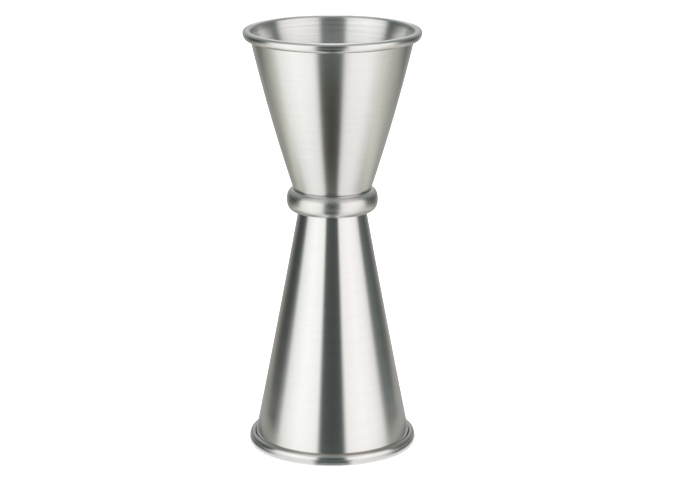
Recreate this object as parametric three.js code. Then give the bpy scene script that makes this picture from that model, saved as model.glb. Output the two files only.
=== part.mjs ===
// A double-ended bar jigger: two thin conical measuring cups joined floor to floor, with a pressed
// ring around the waist. Millimetres, +Z up. The jigger stands on the mouth of its long cup, and
// the origin is the centre of that mouth, on the surface it stands on.
import * as THREE from "three";

// Driving dimensions of the whole jigger.
const HEIGHT = 120;
const WAIST_HEIGHT = 71.6; // the plane midway between the two cup floors
const FLOOR_GAP = 0.3; // left between the floors by the weld nuggets
const TURN_STEPS = 48; // facets around the axis
const DEGREE = Math.PI / 180;

// Both cups are spun from one gauge of sheet, and their rims are curled outwards into a bead.
const SHEET = 0.6;
const CURL_STEP = 20 * DEGREE; // one facet of a curled bead, with a facet lying flat on its crown
const CURL_END = -100 * DEGREE; // the curl stops here, just past its underside and clear of the wall
const CORNER_STEP = 30 * DEGREE;

// Lean is the wall's angle from the cup's axis. It changes evenly from the floor to the rim, which
// rounds the short cup's wall and flares the long cup's. The bead's widest line lies beadToCrown
// below the edge of the mouth, and its curl ends beadToWall further down the wall.
const SHORT_CUP = {
  depth: HEIGHT - WAIST_HEIGHT - FLOOR_GAP / 2,
  rimDiameter: 50,
  beadWidth: 2.3,
  beadToCrown: 0.85,
  beadToWall: 1.85,
  leanAtRim: 12.85 * DEGREE,
  leanAtFloor: 18.2 * DEGREE,
  wallSteps: 6,
  floorCorner: 1.2,
};
const LONG_CUP = {
  depth: WAIST_HEIGHT - FLOOR_GAP / 2,
  rimDiameter: 47.7,
  beadWidth: 2.1,
  beadToCrown: 0.95,
  beadToWall: 2.15,
  leanAtRim: 11.1 * DEGREE,
  leanAtFloor: 10.25 * DEGREE,
  wallSteps: 4,
  floorCorner: 1.2,
};

// The ring is pressed from thicker sheet into a hollow half-round, open towards the cups. Its
// section is a superellipse, a little squarer than an ellipse.
const RING = {
  sheet: 0.8,
  diameter: 25.8,
  bulge: 2.25, // how far the half-round stands out from its own centre line
  above: 3.1,
  below: 3.15,
  squareness: 2.4, // the exponent of the superellipse
  lowerBore: 19.6, // closes on the narrow end of the long cup
  crownSteps: 14,
  upperEdge: 78 * DEGREE, // the half-round stops here, just clear of the short cup
};

// Resistance welds hold the two floors together.
const WELDS = { count: 4, pitchRadius: 4.8, diameter: 3.6, facets: 20 };

// Satin stainless steel, a shade brighter on the outside cups than on the ring.
const cupSteel = new THREE.MeshStandardMaterial({ color: 0xc9c8c4, roughness: 0.3, metalness: 1 });
const ringSteel = new THREE.MeshStandardMaterial({ color: 0xc2c1bd, roughness: 0.26, metalness: 1 });
const weldSteel = new THREE.MeshStandardMaterial({ color: 0x8f8c86, roughness: 0.5, metalness: 1 });

// The closed outline of a sheet of even thickness, from the line along the middle of the sheet.
// Each point moves out along the mitre between its two edges, so both faces stay parallel.
function sheetOutline(middle, thickness) {
  const normals = middle.slice(1).map((point, i) => {
    const along = new THREE.Vector2().subVectors(point, middle[i]).normalize();
    return new THREE.Vector2(-along.y, along.x);
  });
  const face = (offset) =>
    middle.map((point, i) => {
      const before = normals[Math.max(i - 1, 0)];
      const after = normals[Math.min(i, normals.length - 1)];
      const mitre = new THREE.Vector2().addVectors(before, after).normalize();
      return point.clone().addScaledVector(mitre, offset / mitre.dot(before));
    });
  return [...face(-thickness / 2), ...face(thickness / 2).reverse()];
}

// Turns an outline in (radius, height) about the Z axis.
function turned(outline, steps = TURN_STEPS) {
  return new THREE.LatheGeometry(outline, steps).rotateX(Math.PI / 2);
}

// The middle line of the curled rim, from the point where it leaves the wall to its free end.
function curl(cup) {
  const halfWidth = (cup.beadWidth - SHEET) / 2;
  const toCrown = cup.beadToCrown - SHEET / 2;
  const toWall = cup.beadToWall - SHEET / 2;
  const centre = new THREE.Vector2(
    cup.rimDiameter / 2 - cup.beadWidth / 2,
    cup.depth - cup.beadToCrown,
  );
  const at = (angle, scale) =>
    new THREE.Vector2(
      centre.x + scale * halfWidth * Math.cos(angle),
      centre.y + scale * (angle > 0 ? toCrown : toWall) * Math.sin(angle),
    );
  const start = Math.PI - Math.atan((toCrown / halfWidth) * Math.tan(cup.leanAtRim));
  const facetScale = 1 / Math.cos(CURL_STEP / 2); // facets touch the true curve at their middles
  const points = [at(start, 1)];
  for (let angle = Math.PI - CURL_STEP; angle > CURL_END - CURL_STEP / 2; angle -= CURL_STEP) {
    points.push(at(angle, facetScale));
  }
  return points;
}

// A cup standing on the outside of its floor, with its mouth up.
function cupGeometry(cup) {
  const rim = curl(cup);
  const cornerRadius = cup.floorCorner - SHEET / 2;
  const cornerTop = SHEET / 2 + cornerRadius * (1 - Math.sin(cup.leanAtFloor));
  const wall = [];
  const fall = (rim[0].y - cornerTop) / cup.wallSteps;
  let radius = rim[0].x;
  for (let i = 0; i < cup.wallSteps; i += 1) {
    const share = (i + 0.5) / cup.wallSteps;
    const lean = THREE.MathUtils.lerp(cup.leanAtRim, cup.leanAtFloor, share);
    radius -= fall * Math.tan(lean);
    wall.unshift(new THREE.Vector2(radius, rim[0].y - fall * (i + 1)));
  }
  // The corner turns from the flat floor up into the wall.
  const cornerCentre = new THREE.Vector2(
    radius - cornerRadius * Math.cos(cup.leanAtFloor),
    SHEET / 2 + cornerRadius,
  );
  const corner = [];
  for (let angle = -Math.PI / 2; angle < -cup.leanAtFloor - 0.1; angle += CORNER_STEP) {
    corner.push(
      new THREE.Vector2(
        cornerCentre.x + cornerRadius * Math.cos(angle),
        cornerCentre.y + cornerRadius * Math.sin(angle),
      ),
    );
  }
  const floorCentre = new THREE.Vector2(0, SHEET / 2);
  return turned(sheetOutline([floorCentre, ...corner, ...wall, ...rim], SHEET));
}

// The waist ring, with the waist plane at its zero height.
function ringGeometry() {
  const halfSheet = RING.sheet / 2;
  const width = RING.bulge - halfSheet;
  const crownCentre = RING.diameter / 2 - RING.bulge;
  const squared = (value) => Math.sign(value) * Math.abs(value) ** (2 / RING.squareness);
  const middle = [new THREE.Vector2(RING.lowerBore / 2, halfSheet - RING.below)];
  for (let i = 0; i <= RING.crownSteps; i += 1) {
    const angle = THREE.MathUtils.lerp(-Math.PI / 2, RING.upperEdge, i / RING.crownSteps);
    const reach = (angle < 0 ? RING.below : RING.above) - halfSheet;
    middle.push(
      new THREE.Vector2(
        crownCentre + width * squared(Math.cos(angle)),
        reach * squared(Math.sin(angle)),
      ),
    );
  }
  const outline = sheetOutline(middle, RING.sheet);
  return turned([...outline, outline[0].clone()]);
}

function named(name, geometry, material) {
  const mesh = new THREE.Mesh(geometry, material);
  mesh.name = name;
  return mesh;
}

const jigger = new THREE.Group();

const shortCup = named("short_cup", cupGeometry(SHORT_CUP), cupSteel);
shortCup.position.z = WAIST_HEIGHT + FLOOR_GAP / 2;

const longCup = named("long_cup", cupGeometry(LONG_CUP), cupSteel);
longCup.position.z = WAIST_HEIGHT - FLOOR_GAP / 2;
longCup.rotation.x = Math.PI;

const ring = named("waist_ring", ringGeometry(), ringSteel);
ring.position.z = WAIST_HEIGHT;

jigger.add(shortCup, longCup, ring);

for (let i = 0; i < WELDS.count; i += 1) {
  const nugget = new THREE.CylinderGeometry(
    WELDS.diameter / 2,
    WELDS.diameter / 2,
    FLOOR_GAP,
    WELDS.facets,
  ).rotateX(Math.PI / 2);
  const weld = named(`floor_weld_${i + 1}`, nugget, weldSteel);
  const turn = (i * 2 * Math.PI) / WELDS.count;
  weld.position.set(
    WELDS.pitchRadius * Math.cos(turn),
    WELDS.pitchRadius * Math.sin(turn),
    WAIST_HEIGHT,
  );
  jigger.add(weld);
}

export default jigger;
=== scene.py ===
"""Looks of a double-ended bar jigger in brushed stainless steel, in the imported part's frame."""
import math

import bmesh
import bpy
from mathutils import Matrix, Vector


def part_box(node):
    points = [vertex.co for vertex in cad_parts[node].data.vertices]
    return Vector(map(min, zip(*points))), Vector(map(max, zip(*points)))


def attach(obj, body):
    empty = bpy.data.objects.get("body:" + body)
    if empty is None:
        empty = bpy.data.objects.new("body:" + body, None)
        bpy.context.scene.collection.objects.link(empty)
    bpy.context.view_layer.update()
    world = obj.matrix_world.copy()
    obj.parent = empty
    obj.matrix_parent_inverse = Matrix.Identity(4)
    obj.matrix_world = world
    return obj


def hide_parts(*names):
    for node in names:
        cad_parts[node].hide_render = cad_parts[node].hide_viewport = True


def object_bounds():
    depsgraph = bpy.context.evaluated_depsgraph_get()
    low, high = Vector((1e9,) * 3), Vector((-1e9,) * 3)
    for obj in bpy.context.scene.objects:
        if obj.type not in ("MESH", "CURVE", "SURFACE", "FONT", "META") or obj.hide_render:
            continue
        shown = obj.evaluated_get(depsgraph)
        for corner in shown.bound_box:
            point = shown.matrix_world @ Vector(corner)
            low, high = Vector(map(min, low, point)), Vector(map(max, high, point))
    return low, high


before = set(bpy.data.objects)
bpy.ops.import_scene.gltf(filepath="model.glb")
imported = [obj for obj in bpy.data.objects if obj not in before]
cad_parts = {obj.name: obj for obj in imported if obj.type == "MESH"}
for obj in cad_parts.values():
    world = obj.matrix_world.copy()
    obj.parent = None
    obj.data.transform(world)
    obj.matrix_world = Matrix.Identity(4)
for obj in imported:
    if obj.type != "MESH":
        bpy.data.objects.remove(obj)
cad_low, cad_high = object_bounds()
floor_z = cad_low.z

MM = 0.001
DEGREE = math.pi / 180
scene = bpy.context.scene

# ---------------------------------------------------------------- camera
CAMERA_DISTANCE = 0.6552  # from the jigger's axis, along the floor
CAMERA_HEIGHT = 0.2309  # above the floor
CAMERA_PITCH = 14.67 * DEGREE  # downwards
CAMERA_LENS = 126.3  # mm
CAMERA_SENSOR = 36  # mm wide
CAMERA_SHIFT = 0.0113  # the jigger stands a little left of the middle
CAMERA_NEAREST = 0.01
CAMERA_FARTHEST = 20

scene.view_settings.view_transform = "Standard"
camera = bpy.data.objects.new("camera", bpy.data.cameras.new("camera"))
camera.location = (0, -CAMERA_DISTANCE, floor_z + CAMERA_HEIGHT)
camera.rotation_euler = (math.pi / 2 - CAMERA_PITCH, 0, 0)
camera.data.sensor_width = CAMERA_SENSOR
camera.data.lens = CAMERA_LENS
camera.data.shift_x = CAMERA_SHIFT
camera.data.clip_start = CAMERA_NEAREST
camera.data.clip_end = CAMERA_FARTHEST
scene.collection.objects.link(camera)
scene.camera = camera


# ---------------------------------------------------------------- node helpers
def new_material(name):
    material = bpy.data.materials.new(name)
    material.use_nodes = True
    material.node_tree.nodes.clear()
    return material, material.node_tree


def plug(tree, socket, value):
    """Links a socket to another node's output, or sets it to a plain value."""
    if hasattr(value, "is_output"):
        tree.links.new(value, socket)
    else:
        socket.default_value = value


def add_node(tree, kind, inputs=None, **settings):
    node = tree.nodes.new(kind)
    for key, value in settings.items():
        setattr(node, key, value)
    for key, value in (inputs or {}).items():
        plug(tree, node.inputs[key], value)
    return node


def maths(tree, operation, *values):
    node = add_node(tree, "ShaderNodeMath", operation=operation)
    for socket, value in zip(node.inputs, values):
        plug(tree, socket, value)
    return node.outputs[0]


def blend_colours(tree, factor, first, second):
    node = add_node(tree, "ShaderNodeMix", data_type="RGBA")
    for socket, value in zip((node.inputs[0], node.inputs[6], node.inputs[7]), (factor, first, second)):
        plug(tree, socket, value)
    return node.outputs[2]


def fade(tree, value, start, end):
    """0 at start, 1 at end, and smooth between them."""
    node = add_node(
        tree,
        "ShaderNodeMapRange",
        {"Value": value, "From Min": start, "From Max": end},
        interpolation_type="SMOOTHSTEP",
    )
    return node.outputs["Result"]


# ---------------------------------------------------------------- steel
FINE_LINE_PITCH = 0.20 * MM
COARSE_LINE_PITCH = 1.3 * MM
SPUN_LINE_PITCH = 0.75 * MM
NOISE_MEAN = 0.5
COARSE_STREAKS = 0.7  # how much the coarse lines vary the colour, against the fine ones
CLOUD_SCALE = 60.0  # a metre, for the faint marks left by handling
CLOUD_STREAKS = 0.06
COARSE_ROUGHNESS = 0.05  # the most that the coarse lines add
CLOUD_ROUGHNESS = 0.03  # the most that the clouds add
MEAN_EXTRA_ROUGHNESS = 0.04  # what those two add on average, taken off again
FINE_RELIEF = 0.7  # bump heights, in units of groove_depth
COARSE_RELIEF = 0.6
SPUN_RELIEF = 20.0  # times the strength of the spun lines
SMALLEST_RADIUS = 0.01 * MM  # keeps the division by the radius off zero
INSIDE_STARTS = -0.3  # how far a surface faces out from the axis where a cup's inside begins
INSIDE_WHOLE = -0.5
TINT_AND_SHADE_STARTS = 0.2  # the level of the clouds where the heat tint and the painted crevice shade begin to show
TINT_AND_SHADE_WHOLE = 0.55
BRUSHING_TURN = 0.25  # of a full turn, from the default tangent


def brushed_steel(name, colour, roughness, anisotropy, streaks, groove_depth, spun=0.0, tints_and_shade=()):
    """Satin stainless steel, brushed round the axis.

    streaks is how much the brushing varies the colour, and groove_depth its bump in metres. spun is
    the strength of the turned lines inside a cup. The last argument lists (height, half width,
    strength, colour) of dark lines round the outside: heat tint, and painted shade standing in for the
    shade in a crevice between parts.
    """
    material, tree = new_material(name)
    place = add_node(tree, "ShaderNodeTexCoord").outputs["Object"]
    x, y, z = add_node(tree, "ShaderNodeSeparateXYZ", {"Vector": place}).outputs
    square = maths(tree, "MULTIPLY_ADD", x, x, maths(tree, "MULTIPLY", y, y))
    radius = maths(tree, "MAXIMUM", maths(tree, "SQRT", square), SMALLEST_RADIUS)
    east = maths(tree, "DIVIDE", x, radius)
    north = maths(tree, "DIVIDE", y, radius)
    along = maths(tree, "ADD", z, radius)  # runs down the walls and out across the floors

    def groove(turns, pitch, detail):
        """Noise drawn out round the axis: turns is blotches a radian, pitch is metres between lines."""
        vector = add_node(
            tree,
            "ShaderNodeCombineXYZ",
            {
                "X": maths(tree, "MULTIPLY", east, turns),
                "Y": maths(tree, "MULTIPLY", north, turns),
                "Z": maths(tree, "MULTIPLY", along, 1 / pitch),
            },
        )
        noise = add_node(
            tree,
            "ShaderNodeTexNoise",
            {"Vector": vector.outputs[0], "Scale": 1.0, "Detail": detail, "Roughness": 0.6},
        )
        return noise.outputs["Fac"]

    fine = groove(turns=2.6, pitch=FINE_LINE_PITCH, detail=3.0)
    coarse = groove(turns=1.1, pitch=COARSE_LINE_PITCH, detail=2.0)
    clouds = add_node(
        tree,
        "ShaderNodeTexNoise",
        {"Vector": place, "Scale": CLOUD_SCALE, "Detail": 3.0, "Roughness": 0.55},
    ).outputs["Fac"]

    # The inside of a cup faces the axis, and keeps the lines of the spinning tool.
    facing = add_node(tree, "ShaderNodeNewGeometry").outputs["Normal"]
    nx, ny, _ = add_node(tree, "ShaderNodeSeparateXYZ", {"Vector": facing}).outputs
    outward = maths(tree, "MULTIPLY_ADD", nx, east, maths(tree, "MULTIPLY", ny, north))
    inside = fade(tree, outward, INSIDE_STARTS, INSIDE_WHOLE)
    lines = groove(turns=0.7, pitch=SPUN_LINE_PITCH, detail=1.0)
    lines = maths(tree, "MULTIPLY", maths(tree, "SUBTRACT", lines, NOISE_MEAN), inside)

    # Brightness: 1 on average, darker in the deeper scratches and in faint handling marks.
    shade = 1.0
    for noise, amount in ((fine, streaks), (coarse, streaks * COARSE_STREAKS), (clouds, CLOUD_STREAKS)):
        shade = maths(tree, "MULTIPLY_ADD", maths(tree, "SUBTRACT", noise, NOISE_MEAN), amount, shade)
    shade = maths(tree, "MULTIPLY_ADD", lines, spun, shade)
    steel = add_node(tree, "ShaderNodeVectorMath", {0: colour, 3: shade}, operation="SCALE").outputs[0]
    outside = maths(tree, "SUBTRACT", 1.0, inside)
    # Dark lines round the outside, in patches: heat tint, and painted shade where a crevice between parts
    # lies in shadow.
    for height, half_width, strength, tint_and_shade_colour in tints_and_shade:
        off = maths(tree, "ABSOLUTE", maths(tree, "SUBTRACT", z, height))
        patches = fade(tree, clouds, TINT_AND_SHADE_STARTS, TINT_AND_SHADE_WHOLE)
        amount = maths(tree, "MULTIPLY", fade(tree, off, half_width, 0.0), patches)
        amount = maths(tree, "MULTIPLY", maths(tree, "MULTIPLY", amount, outside), strength)
        steel = blend_colours(tree, amount, steel, (*tint_and_shade_colour, 1))

    rough = maths(tree, "MULTIPLY_ADD", coarse, COARSE_ROUGHNESS, roughness - MEAN_EXTRA_ROUGHNESS)
    rough = maths(tree, "MULTIPLY_ADD", clouds, CLOUD_ROUGHNESS, rough)

    height = maths(tree, "MULTIPLY", fine, FINE_RELIEF)
    height = maths(tree, "MULTIPLY_ADD", coarse, COARSE_RELIEF, height)
    height = maths(tree, "MULTIPLY_ADD", lines, spun * SPUN_RELIEF, height)
    bump = add_node(tree, "ShaderNodeBump", {"Height": height, "Distance": groove_depth, "Strength": 1.0})
    shader = add_node(
        tree,
        "ShaderNodeBsdfPrincipled",
        {
            "Base Color": steel,
            "Metallic": 1.0,
            "Roughness": rough,
            "Anisotropic": anisotropy,
            "Anisotropic Rotation": BRUSHING_TURN,
            "Normal": bump.outputs["Normal"],
        },
    )
    output = add_node(tree, "ShaderNodeOutputMaterial")
    tree.links.new(shader.outputs["BSDF"], output.inputs["Surface"])
    return material


# ---------------------------------------------------------------- meshes
SEGMENTS = 192
ON_AXIS = 0.0001 * MM  # a smaller radius is a point on the axis
SHARP_EDGE = 50 * DEGREE


def put_away(obj):
    scene.collection.objects.link(obj)
    return obj


def turned(name, outline, material, dent=None):
    """A closed outline in (radius, height) turned about the Z axis. Points on the axis close it.

    dent gives how far each point then moves up.
    """
    mesh = bpy.data.meshes.new(name)
    build = bmesh.new()
    rings = []
    for radius, height in outline:
        if radius < ON_AXIS:
            rings.append([build.verts.new((0, 0, height))])
            continue
        ring = []
        for i in range(SEGMENTS):
            angle = 2 * math.pi * i / SEGMENTS
            ring.append(build.verts.new((radius * math.cos(angle), radius * math.sin(angle), height)))
        rings.append(ring)
    count = len(rings)
    closed = len(rings[0]) > 1 and len(rings[-1]) > 1
    for k in range(count if closed else count - 1):
        lower, upper = rings[k], rings[(k + 1) % count]
        for i in range(SEGMENTS):
            j = (i + 1) % SEGMENTS
            corners = [
                lower[i % len(lower)],
                lower[j % len(lower)],
                upper[j % len(upper)],
                upper[i % len(upper)],
            ]
            corners = list(dict.fromkeys(corners))
            if len(corners) > 2:
                build.faces.new(corners)
    if dent:
        for vertex in build.verts:
            vertex.co.z += dent(vertex.co)
    bmesh.ops.recalc_face_normals(build, faces=build.faces)
    build.to_mesh(mesh)
    build.free()
    for polygon in mesh.polygons:
        polygon.use_smooth = True
    mesh.set_sharp_from_angle(angle=SHARP_EDGE)
    mesh.materials.append(material)
    return put_away(bpy.data.objects.new(name, mesh))


def sheet_outline(middle, thickness):
    """The closed outline of a sheet of even thickness from the line along its middle."""
    normals = []
    for a, b in zip(middle, middle[1:]):
        along = (b - a).normalized()
        normals.append(Vector((-along.y, along.x)))
    outer, inner = [], []
    for i, point in enumerate(middle):
        before = normals[max(i - 1, 0)]
        after = normals[min(i, len(normals) - 1)]
        mitre = (before + after).normalized()
        reach = thickness / 2 / mitre.dot(before)
        outer.append(point - mitre * reach)
        inner.append(point + mitre * reach)
    return outer + inner[::-1]


# ---------------------------------------------------------------- cups
SHEET = 0.6 * MM
FLOOR_CORNER = 1.2 * MM
CURL_STEPS = 56
CORNER_STEPS = 8
WALL_STEPS = 60
FLOOR_STEPS = 40
# Lean is the wall's angle from the axis. The bead is the curled rim: bead_to_crown is its reach from
# its widest line to the edge of the mouth, and bead_to_wall its reach the other way. The curl ends
# just short of the wall.
SHORT_CUP = {
    "node": "short_cup",
    "rim_radius": 25.0 * MM,
    "bead_width": 2.3 * MM,
    "bead_to_crown": 0.85 * MM,
    "bead_to_wall": 1.85 * MM,
    "lean_at_rim": 12.85 * DEGREE,
    "lean_at_floor": 18.2 * DEGREE,
    "curl_end": -124 * DEGREE,
}
LONG_CUP = {
    "node": "long_cup",
    "rim_radius": 23.85 * MM,
    "bead_width": 2.1 * MM,
    "bead_to_crown": 0.95 * MM,
    "bead_to_wall": 2.15 * MM,
    "lean_at_rim": 11.1 * DEGREE,
    "lean_at_floor": 10.25 * DEGREE,
    "curl_end": -121 * DEGREE,
}


def cup_middle_line(cup, depth):
    """The middle of the sheet from the centre of the floor to the free end of the curl."""
    half_width = (cup["bead_width"] - SHEET) / 2
    to_crown = cup["bead_to_crown"] - SHEET / 2
    to_wall = cup["bead_to_wall"] - SHEET / 2
    centre = Vector((cup["rim_radius"] - cup["bead_width"] / 2, depth - cup["bead_to_crown"]))
    start = math.pi - math.atan(to_crown / half_width * math.tan(cup["lean_at_rim"]))
    curl = []
    for i in range(CURL_STEPS + 1):
        angle = start + (cup["curl_end"] - start) * i / CURL_STEPS
        reach = to_crown if angle > 0 else to_wall
        curl.append(centre + Vector((half_width * math.cos(angle), reach * math.sin(angle))))
    corner_radius = FLOOR_CORNER - SHEET / 2
    corner_top = SHEET / 2 + corner_radius * (1 - math.sin(cup["lean_at_floor"]))
    fall = (curl[0].y - corner_top) / WALL_STEPS
    radius = curl[0].x
    wall = []
    for i in range(WALL_STEPS):
        share = (i + 0.5) / WALL_STEPS
        lean = cup["lean_at_rim"] + (cup["lean_at_floor"] - cup["lean_at_rim"]) * share
        radius -= fall * math.tan(lean)
        wall.insert(0, Vector((radius, curl[0].y - fall * (i + 1))))
    corner_centre = Vector(
        (radius - corner_radius * math.cos(cup["lean_at_floor"]), SHEET / 2 + corner_radius)
    )
    corner = []
    for i in range(CORNER_STEPS):
        angle = -math.pi / 2 + (math.pi / 2 - cup["lean_at_floor"]) * i / CORNER_STEPS
        corner.append(corner_centre + corner_radius * Vector((math.cos(angle), math.sin(angle))))
    floor = [Vector((corner[0].x * i / FLOOR_STEPS, SHEET / 2)) for i in range(FLOOR_STEPS)]
    return floor + corner + wall + curl


WELD_NODES = sorted(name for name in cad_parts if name.startswith("floor_weld"))
WELD_DIMPLE = 0.16 * MM  # depth of the electrode's mark inside each cup
WELD_DIMPLE_RADIUS = 2.1 * MM
ON_FLOOR = 0.1 * MM  # a point this close to the level of a cup's inner floor is on it


def make_cup(cup, name, material, mouth_up):
    low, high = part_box(cup["node"])
    outline = sheet_outline(cup_middle_line(cup, high.z - low.z), SHEET)
    foot, up = (low.z, 1) if mouth_up else (high.z, -1)
    outline = [(max(point.x, 0), foot + up * point.y) for point in outline]
    welds = [sum(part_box(node), Vector()) / 2 for node in WELD_NODES]
    inner_floor = foot + up * SHEET

    def dimple(place):
        if abs(place.z - inner_floor) > ON_FLOOR:
            return 0.0
        near = min((place - weld).xy.length for weld in welds) / WELD_DIMPLE_RADIUS
        return -up * WELD_DIMPLE * (1 + math.cos(math.pi * min(near, 1))) / 2

    piece = turned(name, outline, material, dimple)
    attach(piece, "root")
    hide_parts(cup["node"])


# ---------------------------------------------------------------- waist ring
# A hollow pressed half-round whose lower edge closes on the long cup. Its section is a superellipse.
RING_SHEET = 0.8 * MM
RING_RADIUS = 12.9 * MM
RING_BULGE = 2.25 * MM
RING_ABOVE = 3.1 * MM
RING_BELOW = 3.15 * MM
RING_SQUARENESS = 2.4
RING_LOWER_BORE_RADIUS = 9.8 * MM
RING_UPPER_EDGE = 81.5 * DEGREE
RING_STEPS = 64


def squared(value):
    return math.copysign(abs(value) ** (2 / RING_SQUARENESS), value)


def make_ring(material):
    half_sheet = RING_SHEET / 2
    low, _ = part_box("waist_ring")
    centre = Vector((RING_RADIUS - RING_BULGE, low.z + RING_BELOW))
    middle = [Vector((RING_LOWER_BORE_RADIUS, low.z + half_sheet))]
    for i in range(RING_STEPS + 1):
        angle = -math.pi / 2 + (RING_UPPER_EDGE + math.pi / 2) * i / RING_STEPS
        width = (RING_BULGE - half_sheet) * squared(math.cos(angle))
        reach = (RING_BELOW if angle < 0 else RING_ABOVE) - half_sheet
        middle.append(centre + Vector((width, reach * squared(math.sin(angle)))))
    outline = [tuple(point) for point in sheet_outline(middle, RING_SHEET)]
    piece = turned("waist_ring_band", outline, material)
    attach(piece, "root")
    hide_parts("waist_ring")


# ---------------------------------------------------------------- pieces
CUP_COLOUR = (0.798, 0.793, 0.781)
SPUN_LINES = 0.25
BRUSHING_DEPTH = 0.0025 * MM
SEAM_TINT_AND_SHADE_HALF_WIDTH = 0.3 * MM
# How far above the ring's top the painted crevice shade is centred.
CREVICE_SHADE_ABOVE_RING = 0.08 * MM
TINT_BELOW_SEAM = 0.1 * MM
TINT = (0.30, 0.19, 0.10)  # heat tint, along the seam of the long cup's curl
CREVICE_SHADE_COLOUR = (0.10, 0.085, 0.07)  # painted shade: a dark line standing in for the shade in the crevice where the ring meets the short cup
curl_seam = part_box("long_cup")[0].z + LONG_CUP["bead_to_crown"] + LONG_CUP["bead_to_wall"]
ring_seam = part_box("waist_ring")[1].z

short_steel = brushed_steel(
    "brushed_short_cup_steel",
    colour=CUP_COLOUR,
    roughness=0.225,
    anisotropy=0.6,
    streaks=0.10,
    groove_depth=BRUSHING_DEPTH,
    spun=SPUN_LINES,
    # The dark line just above the ring is painted shade of the crevice between ring and cup.
    tints_and_shade=[(ring_seam + CREVICE_SHADE_ABOVE_RING, SEAM_TINT_AND_SHADE_HALF_WIDTH, 0.35, CREVICE_SHADE_COLOUR)],
)
long_steel = brushed_steel(
    "brushed_long_cup_steel",
    colour=CUP_COLOUR,
    roughness=0.185,
    anisotropy=0.5,
    streaks=0.08,
    groove_depth=BRUSHING_DEPTH,
    spun=SPUN_LINES,
    tints_and_shade=[(curl_seam - TINT_BELOW_SEAM, SEAM_TINT_AND_SHADE_HALF_WIDTH, 0.45, TINT)],
)
ring_steel = brushed_steel(
    "satin_ring_steel",
    colour=(0.78, 0.77, 0.755),
    roughness=0.27,
    anisotropy=0.4,
    streaks=0.06,
    groove_depth=0.0015 * MM,
)
weld_steel = brushed_steel(
    "dull_weld_steel",
    colour=(0.52, 0.50, 0.47),
    roughness=0.5,
    anisotropy=0.0,
    streaks=0.2,
    groove_depth=0.004 * MM,
)

make_cup(SHORT_CUP, "short_cup_shell", short_steel, mouth_up=True)
make_cup(LONG_CUP, "long_cup_shell", long_steel, mouth_up=False)
make_ring(ring_steel)
for node_name in WELD_NODES:
    for holder in bpy.data.objects[node_name].material_slots:
        holder.material = weld_steel

# ---------------------------------------------------------------- studio
# The steel mirrors a tent of paper that glows by itself: its glow paints the light of two lamps, left
# and right of the camera, with a dark gap between the two lights and dark cards beside them. The tent
# is a turned skin that only reflections see. Each ring of it has a list of stops (azimuth, brightness,
# tint), from close round the foot out over the floor and up the wall. Azimuth is in degrees from the
# camera's side, + to the right.
# The lists started from a measurement of the reference photograph: the brightness of the jigger's
# reflections by direction. They were then changed to bring the render closer to it.
WHITE = (1.0, 1.0, 1.0)
COOL = (0.985, 1.0, 0.975)  # the left light
WARM = (1.0, 0.98, 0.975)  # the right light
SLATE = (0.88, 1.0, 0.96)  # the dark cards, and most of the gap between the lights
BROWN = (1.0, 0.88, 0.55)  # the gap where it crosses the nearer floor
OLIVE = (1.0, 1.0, 0.91)  # paper at the sides and towards the back

FOOT = [
    (-180, 0.80, WHITE), (-80, 0.85, WHITE), (-28, 0.92, COOL), (-20, 0.32, SLATE), (0, 0.28, SLATE),
    (20, 0.32, SLATE), (28, 0.92, WARM), (80, 0.85, WHITE), (180, 0.80, WHITE),
]
SKIRT = [
    (-180, 0.40, WHITE), (-165, 0.25, SLATE), (-150, 0.10, SLATE), (-102, 0.10, SLATE),
    (-90, 0.60, COOL), (-80, 0.82, COOL), (-28, 0.92, COOL), (-20, 0.12, SLATE), (0, 0.10, SLATE),
    (20, 0.12, SLATE), (28, 0.92, WARM), (75, 0.80, WARM), (88, 0.50, OLIVE), (100, 0.15, SLATE),
    (150, 0.15, SLATE), (165, 0.25, WHITE), (180, 0.40, WHITE),
]
BENEATH = [
    (-180, 0.40, WHITE), (-120, 0.38, OLIVE), (-100, 0.50, OLIVE), (-80, 0.80, COOL), (-28, 0.88, COOL),
    (-20, 0.32, SLATE), (0, 0.28, SLATE), (20, 0.32, SLATE), (28, 0.88, WARM), (75, 0.80, WARM),
    (100, 0.50, OLIVE), (125, 0.42, OLIVE), (180, 0.40, WHITE),
]
# Beside the foot and towards the back, beyond about ±100 degrees, the near floor is darker: a painted
# shadow that the jigger casts from the two lights.
NEAR_FLOOR = [
    (-180, 0.40, WHITE), (-150, 0.34, OLIVE), (-120, 0.34, OLIVE), (-100, 0.44, OLIVE),
    (-84, 0.88, COOL), (-60, 1.04, COOL), (-34, 0.96, COOL), (-27, 0.78, COOL), (-19.5, 0.07, BROWN),
    (0, 0.04, BROWN), (15, 0.06, BROWN), (21, 0.78, WARM), (32, 0.96, WARM), (55, 0.98, WARM),
    (72, 0.82, WARM), (90, 0.52, OLIVE), (125, 0.40, OLIVE), (150, 0.38, OLIVE), (180, 0.40, WHITE),
]
FLOOR = [
    (-180, 0.42, WHITE), (-160, 0.38, OLIVE), (-142, 0.42, OLIVE), (-122, 0.57, OLIVE),
    (-102, 0.88, OLIVE), (-86, 1.04, COOL), (-60, 1.19, COOL), (-30, 1.13, COOL), (-25, 1.02, COOL),
    (-19.5, 0.05, BROWN), (0, 0.02, BROWN), (15, 0.03, BROWN), (19.5, 0.95, WARM), (30, 1.10, WARM),
    (60, 1.12, WARM), (72, 0.94, WARM), (82, 0.86, OLIVE), (95, 0.83, OLIVE), (118, 0.68, OLIVE),
    (140, 0.48, OLIVE), (155, 0.42, WHITE), (180, 0.42, WHITE),
]
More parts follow.
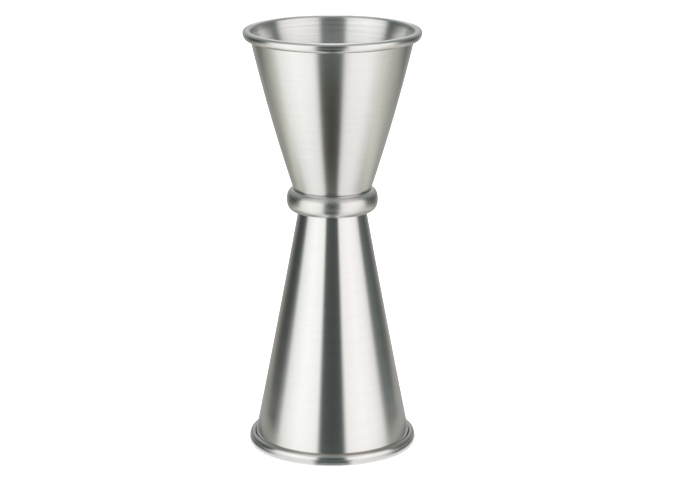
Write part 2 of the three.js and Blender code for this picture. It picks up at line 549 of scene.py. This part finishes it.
MIDDLE_FLOOR = [
    (-180, 0.42, WHITE), (-160, 0.38, OLIVE), (-142, 0.34, OLIVE), (-125, 0.38, OLIVE),
    (-101, 0.64, OLIVE), (-86, 0.99, COOL), (-60, 1.18, COOL), (-30, 1.12, COOL), (-25, 1.02, COOL),
    (-19.5, 0.27, SLATE), (0, 0.26, SLATE), (14, 0.27, SLATE), (19.5, 0.95, WARM), (30, 1.09, WARM),
    (60, 1.07, WARM), (68, 0.93, WARM), (82, 0.72, OLIVE), (99, 0.58, OLIVE), (123, 0.44, OLIVE),
    (140, 0.38, OLIVE), (155, 0.42, WHITE), (180, 0.42, WHITE),
]
FAR_FLOOR = [
    (-180, 0.42, WHITE), (-158, 0.40, WHITE), (-146, 0.30, OLIVE), (-132, 0.14, OLIVE),
    (-120, 0.07, SLATE), (-104, 0.09, SLATE), (-97, 0.22, COOL), (-91, 0.46, COOL), (-85, 0.93, COOL),
    (-60, 1.18, COOL), (-23.5, 1.10, COOL), (-18.5, 0.10, SLATE), (0, 0.065, SLATE), (17, 0.075, SLATE),
    (21.5, 1.06, WARM), (45, 1.15, WARM), (72, 1.08, WARM), (84, 0.92, WARM), (92, 0.42, WARM),
    (99, 0.20, SLATE), (122, 0.10, SLATE), (138, 0.18, OLIVE), (154, 0.36, WHITE), (180, 0.42, WHITE),
]
WALL = [
    (-180, 0.42, WHITE), (-158, 0.40, WHITE), (-146, 0.28, SLATE), (-132, 0.12, SLATE),
    (-120, 0.06, SLATE), (-102, 0.07, SLATE), (-96, 0.13, SLATE), (-91, 0.25, SLATE), (-84, 0.92, COOL),
    (-72, 1.10, COOL), (-52, 1.25, COOL), (-23, 1.13, COOL), (-18.5, 0.09, SLATE), (0, 0.065, SLATE),
    (17, 0.075, SLATE), (21, 1.08, WARM), (50, 1.20, WARM), (72, 1.10, WARM), (85, 0.92, WARM),
    (94, 0.20, SLATE), (104, 0.13, SLATE), (122, 0.10, SLATE), (138, 0.16, OLIVE), (154, 0.34, WHITE),
    (180, 0.42, WHITE),
]
WALL_TOP = [
    (-180, 0.55, WHITE), (-165, 0.45, WHITE), (-150, 0.36, SLATE), (-130, 0.28, SLATE),
    (-112, 0.18, SLATE), (-99, 0.07, SLATE), (-90, 0.12, SLATE), (-82, 0.92, COOL), (-72, 1.10, COOL),
    (-52, 1.25, COOL), (-23, 1.13, COOL), (-18, 0.16, SLATE), (0, 0.12, SLATE), (16, 0.13, SLATE),
    (21, 1.08, WARM), (50, 1.20, WARM), (72, 1.10, WARM), (83, 0.92, WARM), (91, 0.10, SLATE),
    (112, 0.18, SLATE), (130, 0.28, OLIVE), (150, 0.38, WHITE), (180, 0.55, WHITE),
]
ABOVE = [
    (-180, 1.25, WHITE), (-172, 1.15, WHITE), (-162, 0.55, WHITE), (-148, 0.36, SLATE),
    (-95, 0.28, SLATE), (-75, 0.60, COOL), (-55, 0.80, COOL), (-25, 0.70, COOL), (-15, 0.27, SLATE),
    (0, 0.25, SLATE), (15, 0.27, SLATE), (25, 0.70, WARM), (55, 0.80, WARM), (75, 0.60, WARM),
    (95, 0.28, SLATE), (148, 0.36, SLATE), (162, 0.55, WHITE), (172, 1.15, WHITE), (180, 1.25, WHITE),
]
OVERHEAD = [
    (-180, 1.00, WHITE), (-150, 0.45, WHITE), (0, 0.32, WHITE), (150, 0.45, WHITE), (180, 1.00, WHITE),
]

# Radius, height above the floor, stops and spread. A point takes the stop at its azimuth times the
# spread, because the steel mirrors what is close to it at up to twice the azimuth where it lies.
TENT_FLOOR = 0.00005  # just above the floor
PIT_FLOOR = -0.050  # where the paper drops beyond the table that the jigger stands on
TENT_RADIUS = 1.2
TENT_RINGS = [
    (0.005, TENT_FLOOR, FOOT, 2.0),
    (0.0252, TENT_FLOOR, FOOT, 1.9),
    (0.0262, TENT_FLOOR, SKIRT, 1.8),
    (0.036, TENT_FLOOR, SKIRT, 1.4),
    (0.044, TENT_FLOOR, BENEATH, 1.35),
    (0.060, TENT_FLOOR, BENEATH, 1.25),
    (0.085, TENT_FLOOR, NEAR_FLOOR, 1.1),
    (0.146, PIT_FLOOR, NEAR_FLOOR, 1.0),
    (0.178, PIT_FLOOR, NEAR_FLOOR, 1.0),
    (0.220, PIT_FLOOR, FLOOR, 1.0),
    (0.285, PIT_FLOOR, MIDDLE_FLOOR, 1.0),
    (0.425, PIT_FLOOR, MIDDLE_FLOOR, 1.0),
    (0.440, PIT_FLOOR, FAR_FLOOR, 1.0),
    (TENT_RADIUS, PIT_FLOOR, FAR_FLOOR, 1.0),
    (TENT_RADIUS, 0.030, WALL, 1.0),
    (TENT_RADIUS, 0.200, WALL, 1.0),
    (TENT_RADIUS, 0.320, WALL_TOP, 1.0),
    (TENT_RADIUS, 0.530, WALL_TOP, 1.0),
    (TENT_RADIUS, 0.610, ABOVE, 1.0),
    (0.90, 1.05, ABOVE, 1.0),
    (0.40, 1.25, OVERHEAD, 1.0),
    (0.001, 1.30, OVERHEAD, 1.0),
]
TENT_STEPS = 360


def glow_at(stops, azimuth):
    """The tint times the brightness at an azimuth, in a straight line between two stops."""
    for (a, low, tint_a), (b, high, tint_b) in zip(stops, stops[1:]):
        if a <= azimuth <= b:
            share = (azimuth - a) / (b - a)
            return tuple((1 - share) * low * p + share * high * q for p, q in zip(tint_a, tint_b))
    raise ValueError(f"no stop reaches azimuth {azimuth}")


def make_tent():
    points, faces, colours = [], [], []
    row = TENT_STEPS + 1
    for radius, height, stops, spread in TENT_RINGS:
        for i in range(row):
            azimuth = -180 + 360 * i / TENT_STEPS
            turn = azimuth * DEGREE
            points.append((radius * math.sin(turn), -radius * math.cos(turn), floor_z + height))
            colours.append(glow_at(stops, max(-180, min(180, azimuth * spread))))
    for k in range(len(TENT_RINGS) - 1):
        for i in range(TENT_STEPS):
            a = k * row + i
            faces.append((a, a + 1, a + row + 1, a + row))
    mesh = bpy.data.meshes.new("paper_tent")
    mesh.from_pydata(points, [], faces)
    glow = mesh.color_attributes.new("glow", "FLOAT_COLOR", "POINT")
    for entry, colour in zip(glow.data, colours):
        entry.color = (*colour, 1)
    material, tree = new_material("lit_paper")
    colour = add_node(tree, "ShaderNodeVertexColor", layer_name="glow").outputs["Color"]
    shader = add_node(tree, "ShaderNodeEmission", {"Color": colour, "Strength": 1.0})
    output = add_node(tree, "ShaderNodeOutputMaterial")
    tree.links.new(shader.outputs[0], output.inputs["Surface"])
    mesh.materials.append(material)
    tent = put_away(bpy.data.objects.new("paper_tent", mesh))
    tent.visible_camera = False
    tent.visible_diffuse = False
    tent.visible_shadow = False
    tent.visible_transmission = False


FLOOR_REACH = 4.0  # from the axis to each side
FLOOR_COLOUR = (0.92, 0.92, 0.92, 1)
ROOM_COLOUR = (1, 1, 1, 1)
ROOM_BRIGHTNESS = 1.9


def make_floor():
    half = FLOOR_REACH
    corners = [(-half, -half), (half, -half), (half, half), (-half, half)]
    mesh = bpy.data.meshes.new("floor")
    mesh.from_pydata([(x, y, floor_z) for x, y in corners], [], [(0, 1, 2, 3)])
    material, tree = new_material("pale_floor")
    shader = add_node(tree, "ShaderNodeBsdfDiffuse", {"Color": FLOOR_COLOUR})
    output = add_node(tree, "ShaderNodeOutputMaterial")
    tree.links.new(shader.outputs[0], output.inputs["Surface"])
    mesh.materials.append(material)
    floor = put_away(bpy.data.objects.new("floor", mesh))
    floor.visible_glossy = False  # the steel mirrors the tent, part of which lies below the floor


def make_world():
    world = bpy.data.worlds.new("studio")
    scene.world = world
    world.use_nodes = True
    tree = world.node_tree
    tree.nodes.clear()
    room = add_node(tree, "ShaderNodeBackground", {"Color": ROOM_COLOUR, "Strength": ROOM_BRIGHTNESS})
    output = add_node(tree, "ShaderNodeOutputWorld")
    tree.links.new(room.outputs[0], output.inputs["Surface"])


make_tent()
make_floor()
make_world()
